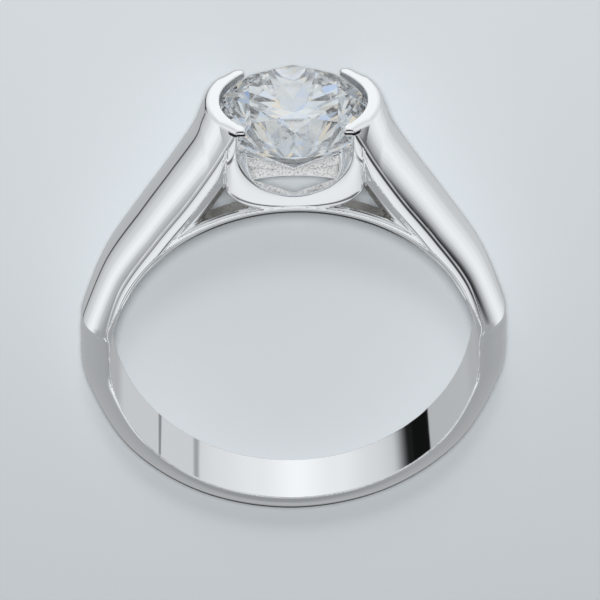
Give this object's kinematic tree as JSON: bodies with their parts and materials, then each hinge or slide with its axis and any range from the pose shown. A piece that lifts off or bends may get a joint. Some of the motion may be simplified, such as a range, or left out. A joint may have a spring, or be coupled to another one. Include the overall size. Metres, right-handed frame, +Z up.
{
  "type": "solitaire engagement ring",
  "caption": "Cathedral solitaire ring: a domed tapering band rises into half-bezel walls that hold a round brilliant stone above open cradles and triangular windows.",
  "frame": {"origin": "under the middle of the ring's outline, on the surface that it lies on", "axes": "+Y from the bottom of the band towards the stone, +Z up out of the side that faces away from the surface, X across the finger hole"},
  "size_m": [0.0202, 0.0242, 0.007],
  "materials": {
    "polished_metal": "high mirror polish, as on rhodium-plated silver or white gold",
    "clear_stone": "polished facets, clear and near colourless"
  },
  "bodies": {
    "root": {"ring_mount": "polished_metal", "center_stone": "clear_stone"}
  },
  "joints": []
}
